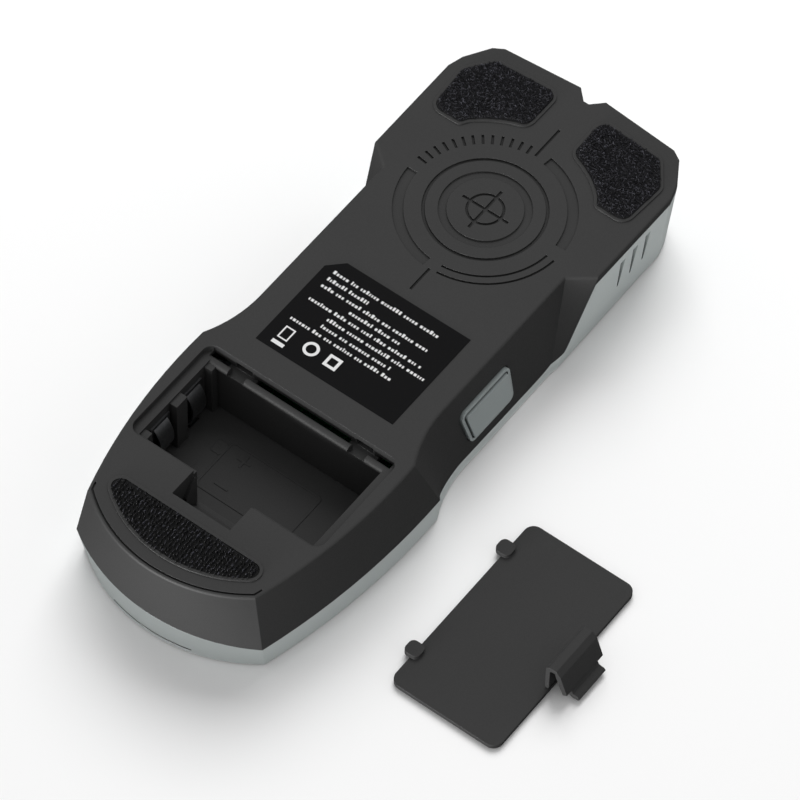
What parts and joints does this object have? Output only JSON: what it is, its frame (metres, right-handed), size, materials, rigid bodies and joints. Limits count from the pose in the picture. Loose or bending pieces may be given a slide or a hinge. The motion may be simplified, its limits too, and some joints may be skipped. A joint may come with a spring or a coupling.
{
  "type": "stud finder",
  "caption": "Handheld wall scanner with stepped head, sensing rings, textile pads, open 9 V battery bay and its cover laid beside it.",
  "frame": {"origin": "on the front (display) face under the centre of the sensing ring; the tool lies on this face", "axes": "+Z from the front face to the back face, +Y towards the head end with the marking notch, +X towards the side with the scan button"},
  "size_m": [0.1308, 0.1815, 0.0292],
  "materials": {
    "black_abs": "fine spark-eroded texture",
    "grey_abs": "satin moulded",
    "button_abs": "satin moulded",
    "label_film": "printed vinyl film",
    "loop_pile": "loop pile",
    "hook_pile": "hook pile",
    "clear_acrylic": "clear moulded",
    "lcd_glass": "polariser film",
    "diffuser": "frosted",
    "white_abs": "moulded",
    "silicone_rubber": "moulded",
    "key_rubber": "moulded",
    "circuit_board": "solder mask",
    "chip_epoxy": "moulded epoxy",
    "component_mix": "tinned",
    "switch_steel": "stamped",
    "copper_wire": "enamelled winding",
    "contact_nickel": "nickel plated",
    "lead_pvc": "extruded",
    "screw_steel": "zinc plated"
  },
  "bodies": {
    "housing": {"rear_shell": "black_abs", "front_shell": "grey_abs", "rating_label": "label_film", "head_pad_right": "loop_pile", "head_pad_left": "loop_pile", "base_pad": "hook_pile", "display_window": "clear_acrylic", "lcd_panel": "lcd_glass", "backlight": "diffuser", "elastomer_strips": "silicone_rubber", "lcd_frame": "white_abs", "main_board": "circuit_board", "main_chips": "chip_epoxy", "board_components": "component_mix", "buzzer": "chip_epoxy", "side_switch": "switch_steel", "keypad": "silicone_rubber", "sensor_board": "circuit_board", "sensor_coil": "copper_wire", "board_header": "chip_epoxy", "contact_positive": "contact_nickel", "contact_negative": "contact_nickel", "battery_leads": "lead_pvc", "case_screws": "screw_steel", "main_board_screws": "screw_steel", "sensor_board_screws": "screw_steel"},
    "battery_cover": {"battery_cover": "black_abs"},
    "cover_latch": {"cover_latch": "black_abs"},
    "side_button": {"side_button": "button_abs"},
    "mode_key": {"mode_key": "key_rubber"},
    "power_key": {"power_key": "key_rubber"}
  },
  "joints": [
    {"name": "battery_cover_lift", "type": "slide", "parent": "housing", "child": "battery_cover", "axis": [0, 0, 1], "range_m": [0, 0.06]},
    {"name": "cover_latch_flex", "type": "hinge", "parent": "battery_cover", "child": "cover_latch", "pos_m": [0.08615, -0.08255, 0.00234], "axis": [0, -1, 0], "range_deg": [0, 6], "stiffness_Nm_per_rad": 0.35},
    {"name": "side_button_press", "type": "slide", "parent": "housing", "child": "side_button", "axis": [-1, 0, 0], "range_m": [0, 0.001], "stiffness_N_per_m": 1500},
    {"name": "mode_key_press", "type": "slide", "parent": "housing", "child": "mode_key", "axis": [0, 0, 1], "range_m": [0, 0.0006], "stiffness_N_per_m": 2500},
    {"name": "power_key_press", "type": "slide", "parent": "housing", "child": "power_key", "axis": [0, 0, 1], "range_m": [0, 0.0006], "stiffness_N_per_m": 2500}
  ]
}
